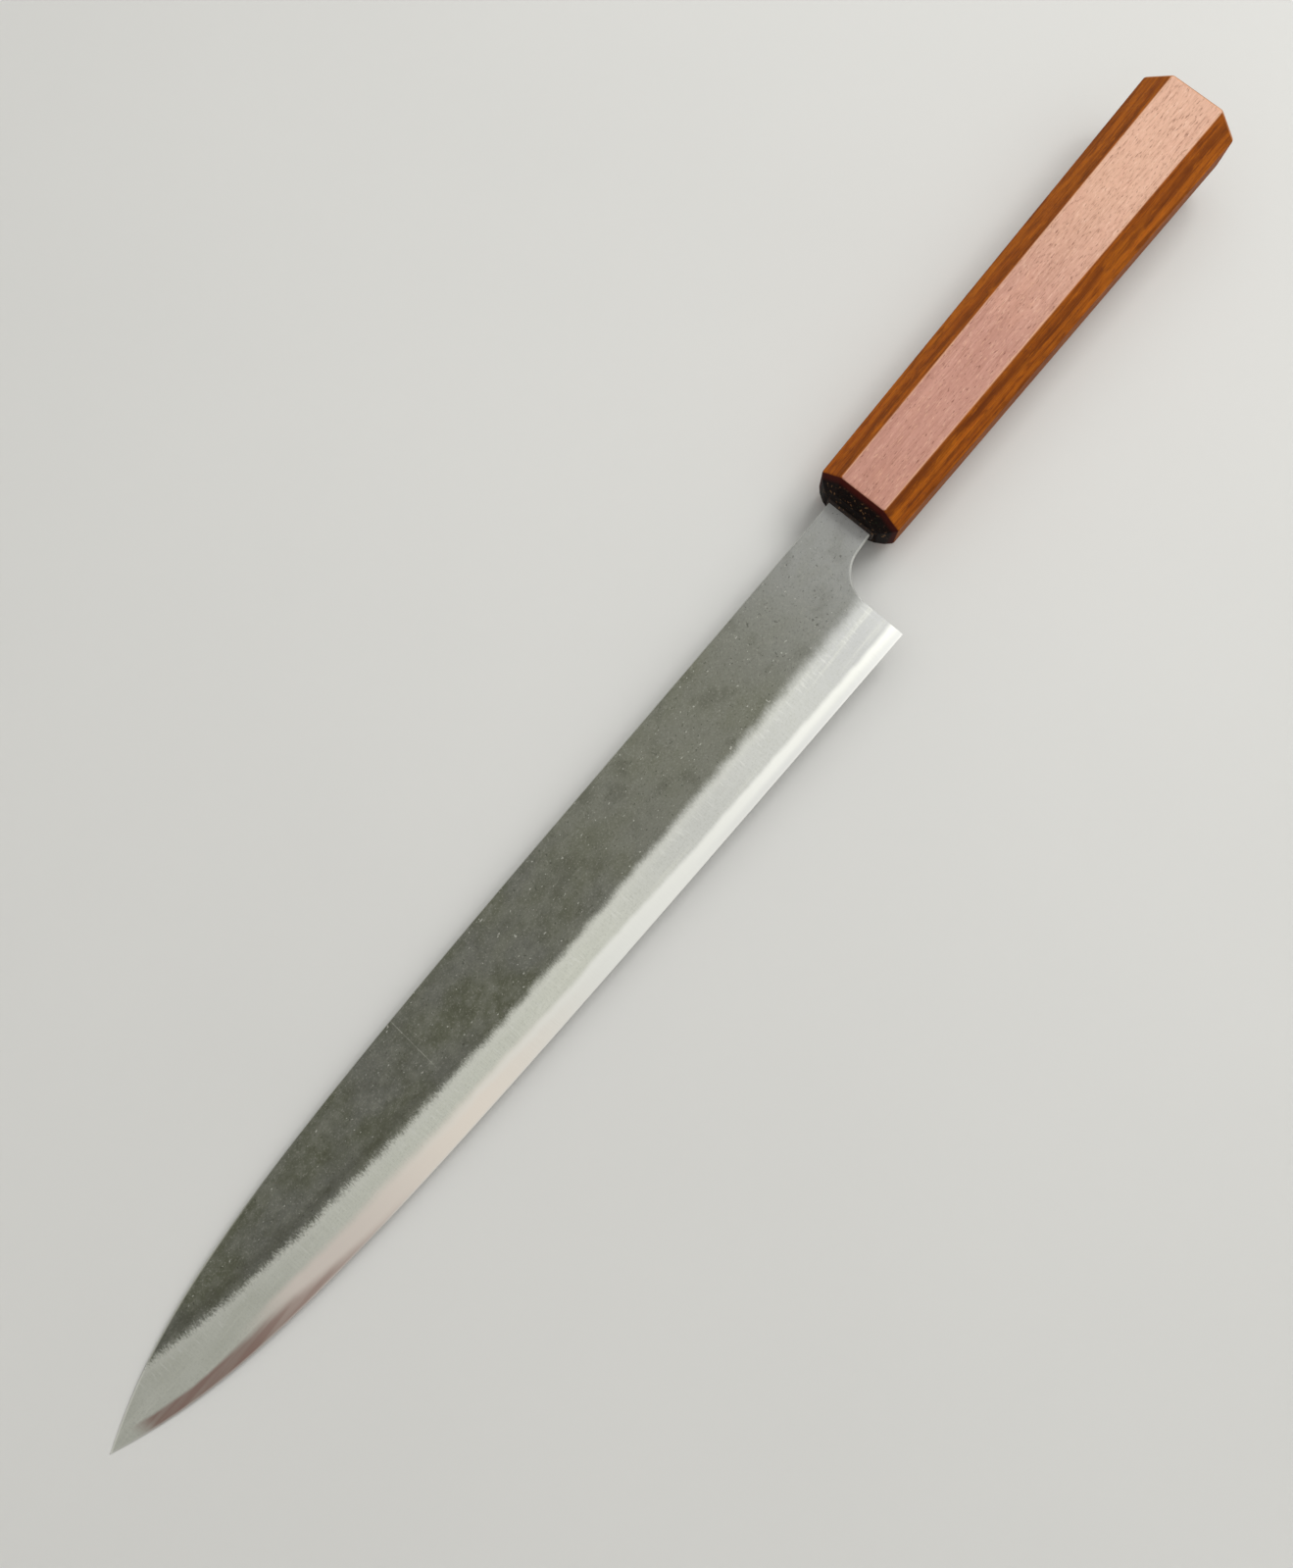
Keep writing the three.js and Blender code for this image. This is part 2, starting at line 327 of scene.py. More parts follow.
heel = Vector((-blade["neckLength"], -blade["heelDepth"]))
fall = blade["heelDepth"] - blade["pointDepth"]
point = Vector((heel.x - math.sqrt(blade["edgeLength"] ** 2 - fall ** 2), -blade["pointDepth"]))
backBend = Vector((-blade["backStraight"], blade["neckTop"] + blade["backRise"]))
backSlope = -blade["backRise"] / blade["backStraight"]
backCurve = drawLine(backBend, backSlope, point, slope(blade["backPointAngle"]), blade["backHold"])
edgeStart, edgeEnd = -slope(blade["edgeHeelAngle"]), -slope(blade["edgePointAngle"])
edgeAt = drawLine(heel, edgeStart, point, edgeEnd, blade["edgeHold"])


def backAt(x):
    return blade["neckTop"] + backSlope * x if x > backBend.x else backCurve(x)


runOutX = point.x + blade["pointBevel"]  # where the top of the bevel runs out at the back
runOut = Vector((runOutX, backAt(runOutX)))
ridgeHeel = heel + Vector((0, blade["bevelHeight"]))
ridgeStart, ridgeEnd = -slope(blade["bevelHeelAngle"]), -slope(blade["bevelPointAngle"])
ridgeCurve = drawLine(ridgeHeel, ridgeStart, runOut, ridgeEnd, blade["bevelHold"])
beyondSlope = 0.6  # before the point the bevel's top line goes on above the back

# the forged face is one plane through three known half thicknesses
faceRows = [[1, 0, blade["neckTop"]], [1, runOut.x, runOut.y], [1, ridgeHeel.x, ridgeHeel.y]]
faceHalves = [blade["neckThickness"] / 2, blade["pointThickness"] / 2, blade["bevelThickness"] / 2]
facePlane = np.linalg.solve(faceRows, faceHalves)


def faceAt(x, y):
    return float(facePlane @ (1, x, y))


coreSlope = (blade["coreAtHeel"] - blade["coreAtPoint"]) / (heel.x - runOut.x)
pointRake = faceAt(*runOut) / (runOut.y - edgeAt(runOut.x))
honeHeel = Vector((heel.x, blade["honeHeel"]))
honePoint = Vector((point.x, blade["honePoint"]))
honeCurve = drawLine(
    honeHeel, blade["honeHeelSlope"], honePoint, blade["honePointSlope"], blade["honeHold"])


def coreAt(x):
    # half thickness of the core layer
    return blade["coreAtHeel"] + coreSlope * (x - heel.x)


def honeAt(x):
    # height of the honed band above the edge, slightly wavering
    broad = noise.noise((x / blade["longWave"], 0.3, 2.2))
    waver = broad + 0.4 * noise.noise((x / blade["shortWave"], 5.1, 0.7))
    return honeCurve(x) * (1 + blade["honeWaver"] * waver)


def ridgeAt(x):
    return ridgeHeel.y if x > heel.x else ridgeCurve(x)


def forgedAt(x, y):
    # half thickness of the forged face with its hammer marks, calm along its borders
    (largeX, largeY), (smallX, smallY) = blade["hammerLarge"], blade["hammerSmall"]
    large = noise.noise((x / largeX, y / largeY, 1.5))
    hammer = large + 0.5 * noise.noise((x / smallX, y / smallY, 7.5))
    calm = limited((y - ridgeAt(x)) / blade["ridgeCalm"]) * limited((backAt(x) - y) / blade["backCalm"])
    return faceAt(x, y) + blade["hammerDepth"] * hammer * calm


choilX = heel.x + blade["choilRadius"]
choilY = blade["neckSlope"] * choilX - blade["neckBottom"] - blade["choilRadius"]
choilShare = (choilY - heel.y - honeAt(heel.x)) / (blade["bevelHeight"] - honeAt(heel.x))

# where the rows of verts lie across each part of a cross-section
microShares = (0.5, 1.0)
honeShares = (0.15, 0.4, 0.7, 1.0)
bevelShares = (0.16, 0.3, 0.44, 0.58, 0.7, choilShare, 0.9, 0.97, 1.0)
faceShares = (0.02, 0.06, 0.13, 0.23, 0.35, 0.48, 0.61, 0.74, 0.86, 0.95, 1.0)
roundTurns = (0.2, 0.4, 0.6, 0.8, 1.0)
tiny = 1e-9  # keeps a share from being taken of nothing at the very point


def bladeRow(x):
    # the left half of one cross-section, from the edge up the face and over to the middle of the back
    edge, back = edgeAt(x), backAt(x)
    depth = back - edge
    atPoint = x <= runOut.x
    backHalf = pointRake * depth if atPoint else faceAt(x, back)
    radius = min(blade["backRound"], backHalf / 2, depth / 4)
    top = back - radius
    ridge = top if atPoint else ridgeCurve(x)
    ridgeHalf = backHalf if atPoint else faceAt(x, ridge)
    rise = max(ridge - edge, tiny)
    hone = min(honeAt(x), blade["honeMost"] * rise)
    honeHalf = ridgeHalf * hone / rise + blade["honeCrown"] * min(1, depth / blade["crownFade"])
    micro = min(blade["microHeight"], hone / 4)
    microLeast = blade["microHalf"] * min(1, depth / blade["microFade"])
    microHalf = max(honeHalf * micro / max(hone, tiny), microLeast)
    calm = limited((rise - hone - 1) / 4)
    row = [(edge, 0.0)]
    row += [(edge + micro * s, microHalf * s) for s in microShares]
    for s in honeShares:
        row.append((edge + micro + (hone - micro) * s, microHalf + (honeHalf - microHalf) * s))
    for s in bevelShares:
        stone = noise.noise((x / blade["stoneWave"], s * 2.3, 4.0)) * 4 * s * (1 - s)
        uneven = blade["stoneDepth"] * calm * stone
        row.append((edge + hone + (rise - hone) * s, honeHalf + (ridgeHalf - honeHalf) * s + uneven))
    for s in faceShares:
        y = ridge + (top - ridge) * s
        row.append((y, ridgeHalf if atPoint else forgedAt(x, y)))
    topHalf = row[-1][1]
    for turn in roundTurns:
        angle = turn * math.pi / 2
        row.append((top + radius * math.sin(angle), topHalf - radius * (1 - math.cos(angle))))
    row.append((back, 0.0))
    return row


# half a skin from a grid, each column of it laid on its cross-section, then mirrored to the other side
columns = blade["stations"]
bladeRows = []
for column in range(columns + 1):
    x = point.x + (heel.x - point.x) * (column / columns) ** blade["crowding"]
    bladeRows.append((x, bladeRow(x)))
across = len(bladeRows[0][1]) - 1

takeNone()
bpy.ops.mesh.primitive_grid_add(x_subdivisions=columns, y_subdivisions=across, size=2)
blank = bpy.context.object
blank.name = "blank"
for vert in blank.data.vertices:
    column = round((vert.co.x + 1) / 2 * columns)
    place = round((vert.co.y + 1) / 2 * across)
    x, row = bladeRows[column]
    vert.co = Vector((x, *row[place])) * mm
mirror = {"use_axis": (False, False, True), "use_mirror_merge": True, "merge_threshold": weldGap}
applyModifier(blank, "MIRROR", **mirror)
openMesh(blank)
bpy.ops.mesh.select_all(action="SELECT")
bpy.ops.mesh.remove_doubles(threshold=weldGap)
bpy.ops.mesh.dissolve_degenerate(threshold=weldGap / 10)


def atHeel(spot):
    return abs(spot.x - heel.x * mm) < near


def endAboveChoil(face):
    middle = face.calc_center_median()
    return atHeel(middle) and middle.y > choilY * mm


# the heel's end is closed in two faces, one below the choil and one above it
pick(blank, "VERT", lambda v: atHeel(v.co) and abs(v.co.y - choilY * mm) < near)
bpy.ops.mesh.edge_face_add()
pick(blank, "VERT", lambda v: atHeel(v.co) and v.co.y < choilY * mm + near)
bpy.ops.mesh.edge_face_add()
pick(blank, "VERT", lambda v: atHeel(v.co) and v.co.y > choilY * mm - near)
bpy.ops.mesh.edge_face_add()

# the upper one is drawn out into the neck round the choil, and on into the tang
neckPlaces = []  # place, top, underside and half thickness
for step in range(1, blade["choilSteps"] + 1):
    angle = step / blade["choilSteps"] * math.pi / 2
    x = choilX - blade["choilRadius"] * math.cos(angle)
    under = choilY + blade["choilRadius"] * math.sin(angle)
    neckPlaces.append((x, backAt(x), under, faceAt(x, backAt(x))))
neckPlaces.append((0.0, blade["neckTop"], -blade["neckBottom"], blade["neckThickness"] / 2))
tangTop = (blade["neckTop"] - blade["neckBottom"] + blade["tangEndHeight"]) / 2
tangUnder = tangTop - blade["tangEndHeight"]
neckPlaces.append((blade["tangLength"], tangTop, tangUnder, blade["tangEndThickness"] / 2))

pick(blank, "FACE", endAboveChoil)
lastX, lastTop, lastUnder = heel.x, backAt(heel.x), choilY
lastHalf = faceAt(heel.x, lastTop)
for x, top, under, half in neckPlaces:
    move = ((x - lastX) * mm, (top - lastTop) * mm, 0)
    bpy.ops.mesh.extrude_region_move(TRANSFORM_OT_translate={"value": move})
    stretch = (1, (top - under) / (lastTop - lastUnder), half / lastHalf)
    bpy.ops.transform.resize(value=stretch, center_override=(x * mm, top * mm, 0))
    lastX, lastTop, lastUnder, lastHalf = x, top, under, half


def underLine(x):
    # height of the choil and of the neck's underside
    if x > choilX:
        return blade["neckSlope"] * x - blade["neckBottom"]
    return choilY + math.sqrt(max(0, blade["choilRadius"] ** 2 - (x - choilX) ** 2))


# the neck's faces are dressed into the planes of the blade's and keep the bevel's end at the heel;
# their lower corners are broken as with a file, more and more from the heel to the neck
dressing = {"clear": 0.001, "faceShare": 0.4, "cornerReach": 0.02}
honeTop = len(microShares) + len(honeShares)
heelHalf = bladeRows[-1][1][honeTop][1]
bevelSlope = (faceAt(*ridgeHeel) - heelHalf) / (blade["bevelHeight"] - honeAt(heel.x))
mesh = bmesh.from_edit_mesh(blank.data)
for vert in mesh.verts:
    x, y, z = vert.co / mm
    onNeck = heel.x + dressing["clear"] < x < dressing["clear"]
    onSide = abs(z) > dressing["faceShare"] * faceAt(x, y)
    if onNeck and onSide and y < backAt(x) - blade["backRound"] / 2:
        half = forgedAt(x, y) + min(0, y - ridgeHeel.y) * bevelSlope
        if y < underLine(x) + dressing["cornerReach"]:
            half -= blade["choilChamfer"] * min(1, (y - choilY) / blade["choilRadius"])
        vert.co.z = math.copysign(half * mm, z)
bmesh.update_edit_mesh(blank.data)
bpy.ops.mesh.select_all(action="SELECT")
bpy.ops.mesh.normals_make_consistent(inside=False)
closeMesh()
print("blade blank:", len(blank.data.vertices), "verts,", len(blank.data.polygons), "faces")


def sawLayer(name, cuts):
    # a copy of the blank sawn along the weld planes; each cut keeps one side and closes itself
    takeOnly(blank)
    bpy.ops.object.duplicate()
    layer = bpy.context.object
    layer.name = layer.data.name = name
    openMesh(layer)
    for side, keepOuter in cuts:
        bpy.ops.mesh.select_all(action="SELECT")
        spot = Vector((heel.x, 0, side * coreAt(heel.x))) * mm
        turn = Vector((-coreSlope, 0, side)).normalized()
        kept = {"clear_inner": keepOuter, "clear_outer": not keepOuter}
        bpy.ops.mesh.bisect(plane_co=spot, plane_no=turn, threshold=weldGap, **kept)
        bpy.ops.mesh.select_all(action="SELECT")
        bpy.ops.mesh.delete_loose()
        # the open rim is closed with one face and stays a sharp corner
        bpy.ops.mesh.select_mode(type="EDGE")
        bpy.ops.mesh.select_all(action="DESELECT")
        bpy.ops.mesh.select_non_manifold(extend=False)
        bpy.ops.mesh.mark_sharp()
        bpy.ops.mesh.edge_face_add()
    closeMesh()
    return layer


def markLines(layer):
    # each vert keeps how far it is from the edge, the honed band, the bevel's top line and the back
    heights = {"aboveEdge": [], "aboveHone": [], "aboveRidge": [], "belowBack": []}
    for vert in layer.data.vertices:
        spot = vert.co / mm
        x = min(max(spot.x, point.x), heel.x)
        heights["aboveEdge"].append(spot.y - edgeAt(x))
        heights["aboveHone"].append(spot.y - edgeAt(x) - honeAt(x))
        beyond = backAt(x) + (runOut.x - x) * beyondSlope
        heights["aboveRidge"].append(spot.y - (beyond if x < runOut.x else ridgeCurve(x)))
        heights["belowBack"].append(backAt(x) - spot.y)
    for name, values in heights.items():
        layer.data.attributes.new(name, "FLOAT", "POINT").data.foreach_set("value", values)


coreLayer = sawLayer("core_layer", [(1, False), (-1, False)])
leftLayer = sawLayer("left_layer", [(1, True)])
rightLayer = sawLayer("right_layer", [(-1, True)])
for layer in (coreLayer, leftLayer, rightLayer):
    markLines(layer)
bpy.data.objects.remove(blank)
print("blade sawn into three layers")


def steelFinish(name):
    finish, place, feed = newFinish(name)
    tone = mixTones(blade)
    x, y = axes(place, "XY")
    aboveEdge, aboveHone = mark(place, "aboveEdge"), mark(place, "aboveHone")
    aboveRidge, belowBack = mark(place, "aboveRidge"), mark(place, "belowBack")

    # forge scale: olive grey, mottled, with pale flecks, thinner towards the neck
    cloud = place.grain(19, 11, 11, 3)
    mottle = place.grain(2.8, 2.1, 2.1, 4, 0.62)
    speck = place.grain(0.55, 0.5, 0.5, 3, 0.65)
    fleck = place.grain(1.0, 0.7, 0.7, 1).rise(0.72, 0.78)
    pit = place.grain(0.8, 0.8, 0.8, 1).rise(0.31, 0.24)
    scale = cloud.rise(0.35, 0.65).tint(tone["scaleOlive"], tone["scaleGrey"])
    scale = (mottle.rise(0.42, 0.72) * 0.6).tint(scale, tone["mottlePale"])
    scale = (mottle.rise(0.45, 0.25) * 0.5).tint(scale, tone["mottleDark"])
    scale = (x.rise(-140, -70) * 0.5).tint(scale, tone["scaleThin"])
    scale = (x.rise(-55, -4) * 0.7).tint(scale, tone["neckGrey"])
    # painted light: the steel is lightened over the last millimetres by the mouth to offset the shade
    # the handle casts on the neck
    scale = (x.rise(-7, -1.5) * 0.6).tint(scale, tone["mouthPaintedLight"])
    patch = place.grain(7, 5, 5, 3)
    patched = 0.35 - x.rise(-75, -15) * 0.15
    scale = (patch.rise(0.5, 0.7) * patched).tint(scale, tone["patchPale"])
    scale = (patch.rise(0.48, 0.3) * patched).tint(scale, tone["patchDark"])
    scale = (speck.rise(0.52, 0.74) * 0.38).tint(scale, tone["speckPale"])
    scale = (speck.rise(0.46, 0.26) * 0.38).tint(scale, tone["speckDark"])
    scale = (fleck * 0.55).tint(scale, tone["fleck"])
    scale = (pit * 0.5).tint(scale, tone["pit"])
    scratch = (x - y * 0.07).line(-164.9, 0.2) * y.rise(-11, -7) * mottle.rise(0.3, 0.6)
    scale = (scratch * 0.5).tint(scale, tone["scratch"])
    low = aboveRidge.line(2.4, 2.4) * x.rise(-140, -190)  # painted shade, darkest just above the bevel
    scale = (low * 0.35).tint(scale, tone["scaleRidgeShade"])
    scaleRough = 0.42 + mottle * 0.2 + speck * 0.12

    # ground bevel: pale haze with fine stone marks across it
    haze = place.grain(12, 6, 6, 3)
    stone = place.grain(0.16, 5, 5, 2)
    drift = place.grain(26, 1.3, 1.3, 2)
    grit = place.grain(0.5, 0.4, 0.4, 2)
    iron = haze.rise(0.35, 0.65).tint(tone["hazeDark"], tone["hazePale"])
    iron = (x.rise(-235, -195) * x.rise(-75, -110) * 0.8).tint(iron, tone["ironMiddle"])
    iron = (x.rise(-130, -80) * 0.7).tint(iron, tone["ironCool"])
    iron = (x.rise(-48, -20) * 0.8).tint(iron, tone["ironHeel"])
    iron = (stone.rise(0.4, 0.7) * 0.3).tint(iron, tone["stoneMark"])
    iron = (drift.rise(0.5, 0.75) * 0.35).tint(iron, tone["drift"])
    iron = (grit.rise(0.5, 0.3) * 0.25).tint(iron, tone["grit"])
    coarse = place.grain(0.6, 3.2, 3.2, 2).rise(0.54, 0.72) * aboveRidge.line(-3.2, 3.2)
    iron = (coarse * 0.4).tint(iron, tone["coarseMark"])
    ironRough = 0.29 + stone * 0.12

    # core steel along the edge: bright, rosy on the belly, part steel tone and part painted warm
    # reflection, and like the iron at the point
    wobble = (place.grain(5, 5, 5, 2) - 0.5) * 0.8
    honeLine = aboveHone + wobble
    soft = 0.8 + x.line(-185, 70) * 0.9
    bare = (honeLine / soft).rise(1, -1)
    core = stone.rise(0.4, 0.7).tint(tone["corePale"], tone["coreMark"])
    core = (x.rise(-180, -110) * x.rise(-28, -62) * 0.7).tint(core, tone["coreBright"])
    rosy = x.rise(-215, -170).tint(tone["rosyPointReflection"], tone["rosyBellyReflection"])
    core = x.rise(-118, -170).tint(core, rosy)
    core = x.rise(-224, -246).tint(core, iron)
    edgeShade = aboveEdge.rise(2.4, 0.8) * x.rise(-100, -55)  # painted shade along the edge itself by the heel, so the band's highlight peaks above it
    core = (edgeShade * 0.7).tint(core, tone["coreEdgeShade"])
    coreRough = 0.33 + stone * 0.1

    ground = bare.tint(iron, core)
    groundRough = bare * coreRough + (1 - bare) * ironRough
    honeHighlight = honeLine.line(-0.9, 1.6) * x.rise(-205, -140)  # painted highlight along the hone line
    ground = (honeHighlight * 0.5).tint(ground, tone["honeHighlightPale"])

    # brown along the edge, part oxide and part painted warm reflection, tallest before the point and
    # running out on the belly
    patinaReflectHeight = 0.5 + x.rise(-200, -238) * 3.2 - x.rise(-244, -262) * 0.6
    spread = 0.5 + x.rise(-255, -232) * 0.9
    patinaReflectMask = ((patinaReflectHeight - aboveEdge + wobble * 0.6) / spread).rise(-1, 1)
    patinaReflectMask = patinaReflectMask * x.rise(-186, -212) * x.rise(-277, -270)
    patinaReflectTone = x.rise(-246, -224).tint(tone["patinaReflectDark"], tone["patinaReflectPale"])
    ground = (patinaReflectMask * (0.8 + 0.2 * drift.rise(0.35, 0.6))).tint(ground, patinaReflectTone)
    apex = aboveEdge.rise(0.45, 0.3)
    ground = (apex * 0.4).tint(ground, tone["apex"])
    backHighlight = belowBack.line(0.2, 0.5) * x.rise(-205, -235)  # painted highlight along the back's rounded corner before the point
    ground = (backHighlight * 0.8).tint(ground, tone["backHighlightPale"])

    # misty strip of small teeth where the bevel breaks into the scale
    overlap = 0.45  # the scale starts this far below the line
    reach = 0.45 + x.rise(-120, -215) * 0.55  # the teeth grow towards the point
    teeth = (place.grain(0.34, 0.8, 0.8, 3, 0.6) - 0.5) * 4.4 * reach
    broad = (place.grain(4, 4, 4, 2) - 0.5) * 1.4
    fade = 1.3 + x.rise(-100, -20) * 1.1  # and the strip widens towards the heel
    scaled = ((aboveRidge + overlap + teeth + broad) / fade).rise(-1, 1)
    mist = aboveRidge.line(-1.4, 2.4) * 0.45 * (1 - x.rise(-65, -25) * 0.8)
    ground = mist.tint(ground, tone["mist"])
    colour = scaled.tint(ground, scale)
    rough = scaled * scaleRough + (1 - scaled) * groundRough
    metal = 1 - scaled * 0.55

    # back, choil and heel end are dressed bare with a file, in lines along them
    leaning = mark(place, "dressed")
    dressed = leaning.rise(0.45, 0.75)
    lines = place.grain(9, 9, 0.12, 2)
    filed = lines.rise(0.35, 0.65).tint(tone["filedDark"], tone["filedPale"])
    filed = (mottle.rise(0.5, 0.7) * 0.4).tint(filed, tone["filedSpot"])
    colour = dressed.tint(colour, filed)
    rough = dressed * (0.34 + lines * 0.16) + (1 - dressed) * rough
    metal = dressed * 0.25 + metal * (1 - dressed * 0.25)
    # painted highlight: the same lightening along the back, over the scale
    colour = (backHighlight * scaled * 0.7).tint(colour, tone["backHighlightScale"])
    broken = (leaning.line(0.32, 0.32) * 1.6).rise(0, 1)  # and so are the broken corners beside them
    colour = broken.tint(colour, tone["brokenCorner"])

    height = scaled * (mottle * 0.6 + speck * 0.4) + (1 - scaled) * stone * 0.12
    feed(Base_Color=colour, Roughness=rough, Metallic=metal, Normal=relief(height, 0.05, 0.6))
    return finish


steel = steelFinish("ground_core_steel")
clad = steelFinish("scaled_clad_iron")
for layer, node, slot, finish in (
        (coreLayer, "core_steel", "core_steel", steel),
        (leftLayer, "left_cladding", "cladding_iron", clad),
        (rightLayer, "right_cladding", "cladding_iron", clad)):
    markFaces(layer, "dressed", lambda way: 1 - abs(way.z))
    settle(layer, node, finish)
print("blade finished")


# the handle

handle = {
    "length": 130.0, "mouthWidth": 23.4, "mouthThickness": 21.3, "mouthCorner": 5.3,
    "buttWidth": 26.8, "buttThickness": 22.5, "buttCorner": 6.0,
    "crownDepth": 1.6, "crownInset": 3.6, "noseDepth": 1.6, "noseInset": 1.4, "buttChamfer": 0.8,
    "edgeRound": 0.35, "roundAbove": 0.3,  # edges that turn more than this are rounded, in radians
    "socketWall": 0.8, "socketEnd": 98.0,
    "tones": {
        "sawnDark": (152, 76, 6), "sawnPale": (172, 94, 14), "sawnRed": (182, 74, 4),
        "sawnGold": (188, 106, 14), "ringDark": (104, 46, 2), "lateDark": (96, 40, 2),
        "streakDark": (84, 36, 4), "blotchDark": (98, 44, 4), "blotchGold": (196, 108, 12),
        "threadDark": (88, 38, 4), "threadPale": (200, 112, 24),
        "levelSheenDark": (187, 136, 120), "levelSheenPale": (200, 149, 133), "flatRing": (164, 106, 84),
        "flatStreak": (154, 99, 78), "levelSheenButt": (231, 188, 160), "flatCloud": (214, 160, 138),
        "figureDark": (146, 100, 78), "figurePale": (240, 202, 178),
        "fibre": (120, 62, 30), "ray": (230, 184, 154), "pore": (96, 52, 32),
        "wearAndHighlight": (226, 176, 140),
        "noseShadeBlack": (12, 5, 4), "noseShadeRed": (62, 13, 6), "noseGrain": (70, 32, 18),
        "crumbPale": (128, 94, 62), "crumbGreen": (44, 52, 30),
        "tailPale": (148, 90, 44), "tailRing": (100, 54, 24), "tailRay": (176, 118, 68),
        "tailCloud": (112, 60, 26), "tailPore": (62, 32, 15),
    },
}


def cornerOf(way):
    # near 1 on the small rounds along the top and bottom, less on the others, 0 on the facets
    if abs(way.x) > 0.1:
        return 0.7 if 0 < way.x < 0.85 else 0
    turn = math.atan2(way.z, way.y) / (math.pi / 4)
    return 2 * abs(turn - round(turn)) * (1 if abs(way.z) > abs(way.y) else 0.4)


def handleFinish():
    finish, place, feed = newFinish("oiled_handle_wood", Specular_IOR_Level=0.14)
    tone = mixTones(handle)
    x, y, z = axes(place, "XYZ")
    levelFace = mark(place, "levelFace").rise(0.8, 0.97)
    endFace = mark(place, "endFace")

    # growth rings lie nearly level, so they stripe the slanted facets and leave top and bottom plain
    sway = (place.grain(75, 13, 13, 2) - 0.5) * 4.2
    ring = z + y * y * 0.012 + sway
    wave = (ring * 2.0).sine()
    late = (ring * 5.1 + sway * 2).sine()
    band = place.grain(110, 2.4, 2.4, 3)
    streak = place.grain(70, 0.6, 0.6, 3)
    fibre = place.grain(8, 0.24, 0.24, 2)
    thread = place.grain(16, 0.15, 0.15, 3, 0.6)
    pore = place.grain(1.5, 0.3, 0.3, 2).rise(0.6, 0.72)
    ray = place.grain(1.9, 0.45, 0.45, 2).rise(0.58, 0.72)
    cloud = place.grain(14, 5, 5, 3)
    blotch = place.grain(5, 1.6, 1.6, 3, 0.6)
    sawn = band.rise(0.3, 0.7).tint(tone["sawnDark"], tone["sawnPale"])
    sawn = (wave.rise(-0.2, 1.0) * 0.6).tint(sawn, tone["ringDark"])
    sawn = (late.rise(0.2, 1.0) * 0.35).tint(sawn, tone["lateDark"])
    sawn = (band.rise(0.55, 0.75) * 0.45).tint(sawn, tone["sawnRed"])
    sawn = (streak.rise(0.5, 0.72) * 0.5).tint(sawn, tone["streakDark"])
    sawn = (cloud.rise(0.5, 0.7) * 0.35).tint(sawn, tone["sawnGold"])
    sawn = (blotch.rise(0.5, 0.68) * 0.5).tint(sawn, tone["blotchDark"])
    sawn = (blotch.rise(0.45, 0.3) * 0.4).tint(sawn, tone["blotchGold"])
    sawn = (thread.rise(0.52, 0.68) * 0.45).tint(sawn, tone["threadDark"])
    sawn = (thread.rise(0.46, 0.32) * 0.3).tint(sawn, tone["threadPale"])

    # the level facets are paler and rosy, part wood tone and part painted sheen of the lamp, lightest
    # at the butt
    flat = band.rise(0.3, 0.7).tint(tone["levelSheenDark"], tone["levelSheenPale"])
    flat = (wave.rise(0.2, 1.0) * 0.2).tint(flat, tone["flatRing"])
    flat = (streak.rise(0.5, 0.72) * 0.25).tint(flat, tone["flatStreak"])
    flat = (x.rise(45, 105) * 0.65).tint(flat, tone["levelSheenButt"])
    flat = (cloud.rise(0.5, 0.7) * 0.3).tint(flat, tone["flatCloud"])
    figured = 0.22 + x.rise(30, 100) * 0.3  # short fibres, clearer towards the butt
    figure = place.grain(2.4, 0.55, 0.55, 3, 0.65)
    flat = (figure.rise(0.52, 0.72) * figured).tint(flat, tone["figureDark"])
    flat = (figure.rise(0.46, 0.28) * figured).tint(flat, tone["figurePale"])
    wood = levelFace.tint(sawn, flat)
    wood = (fibre.rise(0.5, 0.75) * 0.25).tint(wood, tone["fibre"])
    wood = (ray * levelFace * 0.35).tint(wood, tone["ray"])
    wood = (pore * 0.55).tint(wood, tone["pore"])
    # pale edges and corners, part wear and part painted highlight, most on the top and bottom rounds
    wearAndHighlight = mark(place, "wearAndHighlight").rise(0.2, 0.9) * (0.5 + cloud.rise(0.35, 0.65) * 0.5)
    wood = (wearAndHighlight * 0.65).tint(wood, tone["wearAndHighlight"])

    # end grain is dark, and painted shade makes it near black round the mouth and dark red towards the
    # rim
    ends = place.grain(0.3, 0.3, 0.3, 2)
    crumb = place.grain(1.3, 1.0, 0.8, 2)
    nose = endFace.rise(-0.3, -0.6)
    tail = endFace.rise(0.8, 0.95)
    noseWood = x.rise(1.5, 2.6).tint(tone["noseShadeBlack"], tone["noseShadeRed"])
    noseWood = (ends.rise(0.56, 0.7) * 0.4).tint(noseWood, tone["noseGrain"])
    byTang = x.rise(2.2, 1.0)
    noseWood = (crumb.rise(0.62, 0.68) * byTang * 0.7).tint(noseWood, tone["crumbPale"])
    noseWood = (crumb.rise(0.36, 0.3) * byTang * 0.5).tint(noseWood, tone["crumbGreen"])

